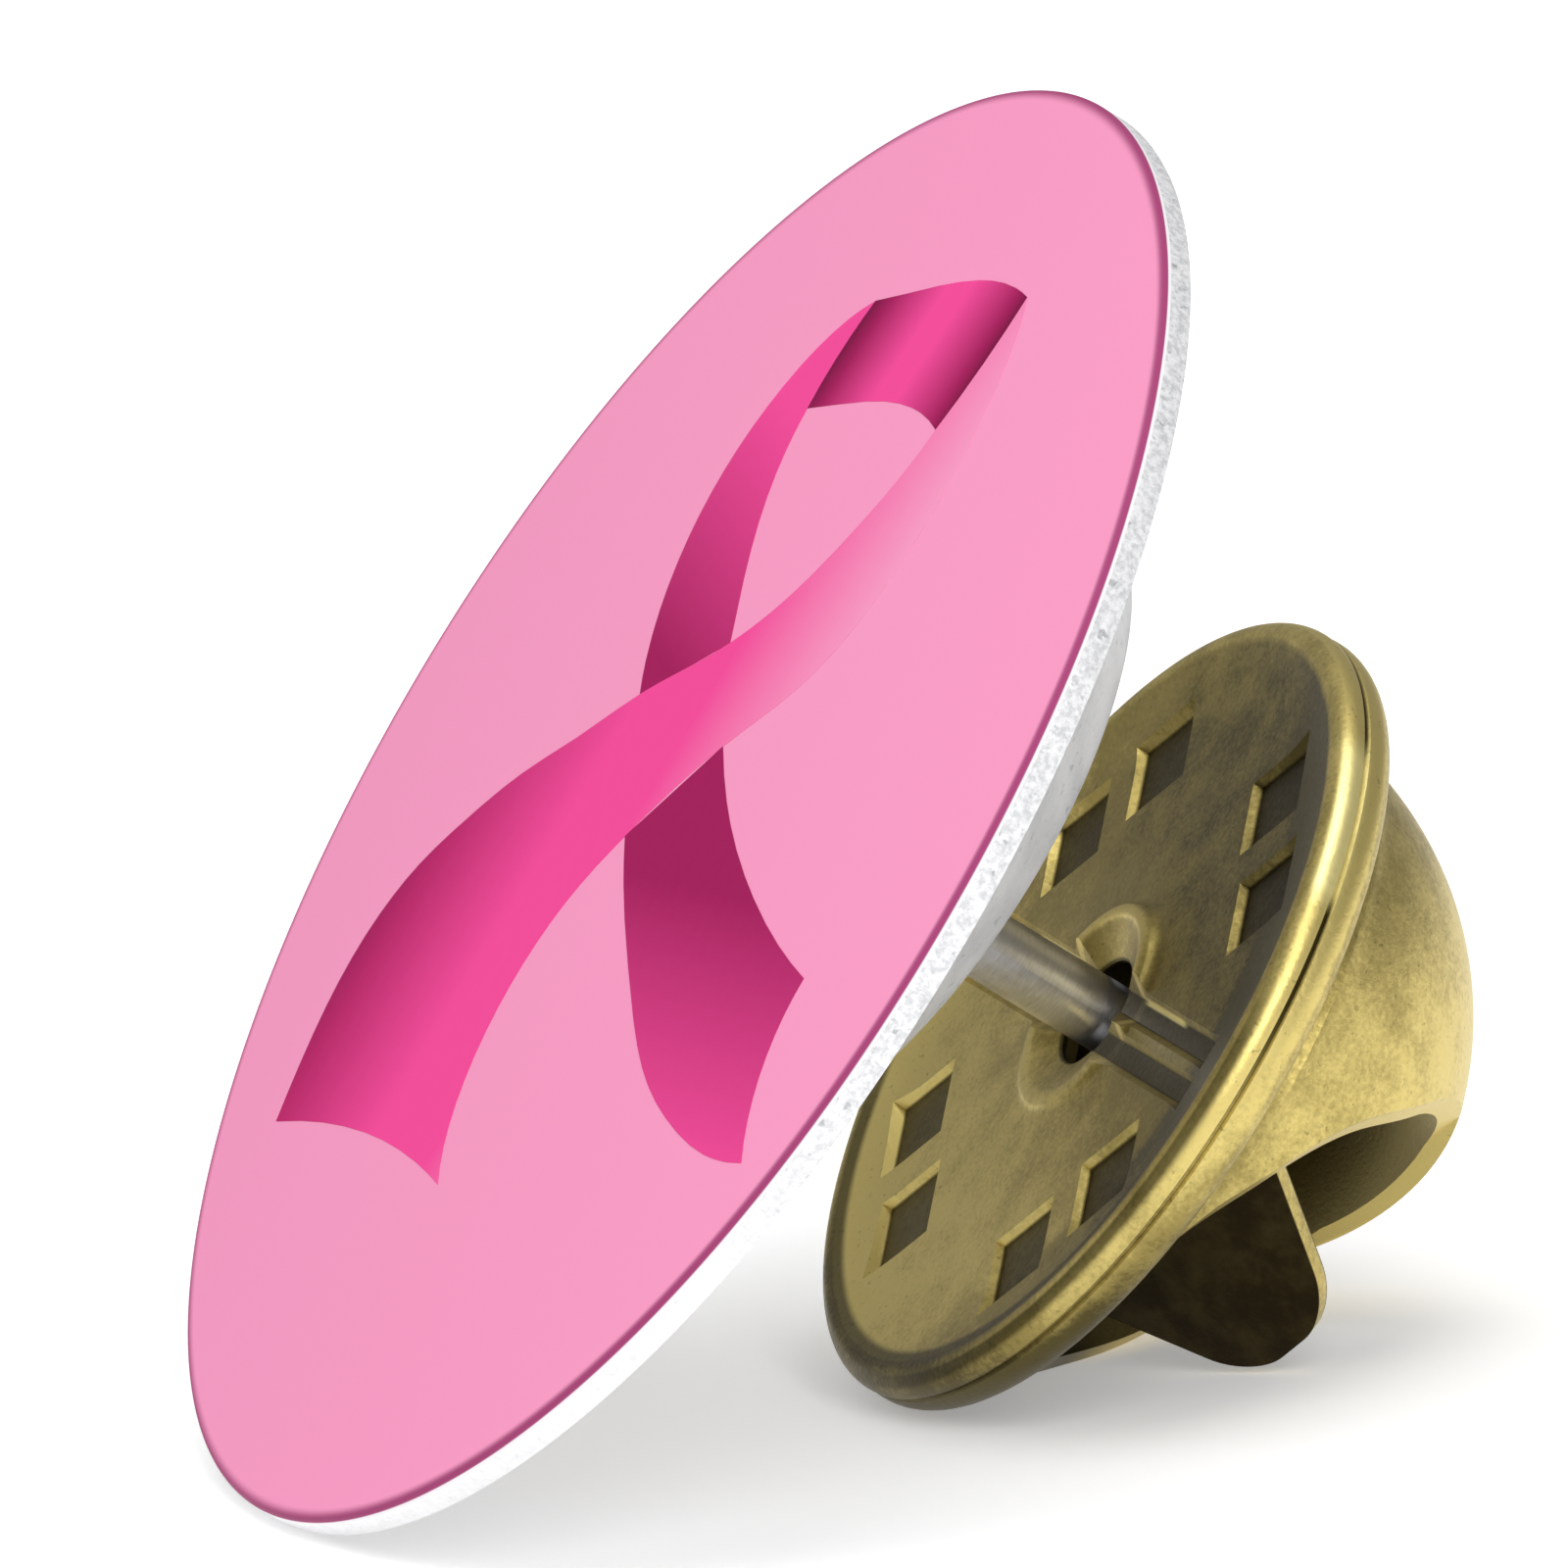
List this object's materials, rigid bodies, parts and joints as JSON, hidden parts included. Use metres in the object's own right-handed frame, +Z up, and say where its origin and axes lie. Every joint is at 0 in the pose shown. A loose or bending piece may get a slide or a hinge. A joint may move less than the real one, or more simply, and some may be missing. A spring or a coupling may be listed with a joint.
{
  "type": "lapel pin",
  "caption": "Round lapel pin with a printed looped ribbon on a pink face, a flared metal back with a fixed post, and a sprung butterfly clutch on the post.",
  "frame": {"origin": "centre of the bounding box's foot, on the surface the pin lies on", "axes": "+Z up, the face looks towards -Y and up, +X to the right across the face"},
  "size_m": [0.0222, 0.0178, 0.0174],
  "materials": {
    "face_print": "smooth satin print",
    "ribbon_print": "smooth satin print",
    "base_metal": "pale cast metal, speckled at the rim",
    "post_metal": "drawn wire",
    "clutch_brass": "tarnished, satin",
    "wing_brass": "dark tarnish"
  },
  "bodies": {
    "pin": {"face_print": "face_print", "ribbon_fold": "ribbon_print", "ribbon_back_strand": "ribbon_print", "ribbon_front_strand": "ribbon_print", "ribbon_back_tail": "ribbon_print", "base": "base_metal", "post": "post_metal"},
    "clutch": {"clutch_plate": "clutch_brass", "clutch_cap": "clutch_brass"},
    "near_wing": {"near_wing": "wing_brass"},
    "far_wing": {"far_wing": "wing_brass"}
  },
  "joints": [
    {"name": "clutch_slide", "type": "slide", "parent": "pin", "child": "clutch", "axis": [0, 0.7751, -0.6319], "range_m": [-0.0025, 0.0045]},
    {"name": "near_wing_pinch", "type": "hinge", "parent": "clutch", "child": "near_wing", "pos_m": [0.00177, 0.00385, 0.00246], "axis": [0.7361, 0.4277, 0.5246], "range_deg": [0, 8], "stiffness_Nm_per_rad": 0.14},
    {"name": "far_wing_pinch", "type": "hinge", "parent": "clutch", "child": "far_wing", "pos_m": [-0.00173, 0.00626, 0.00541], "axis": [-0.7361, -0.4277, -0.5246], "range_deg": [0, 8], "stiffness_Nm_per_rad": 0.14}
  ]
}
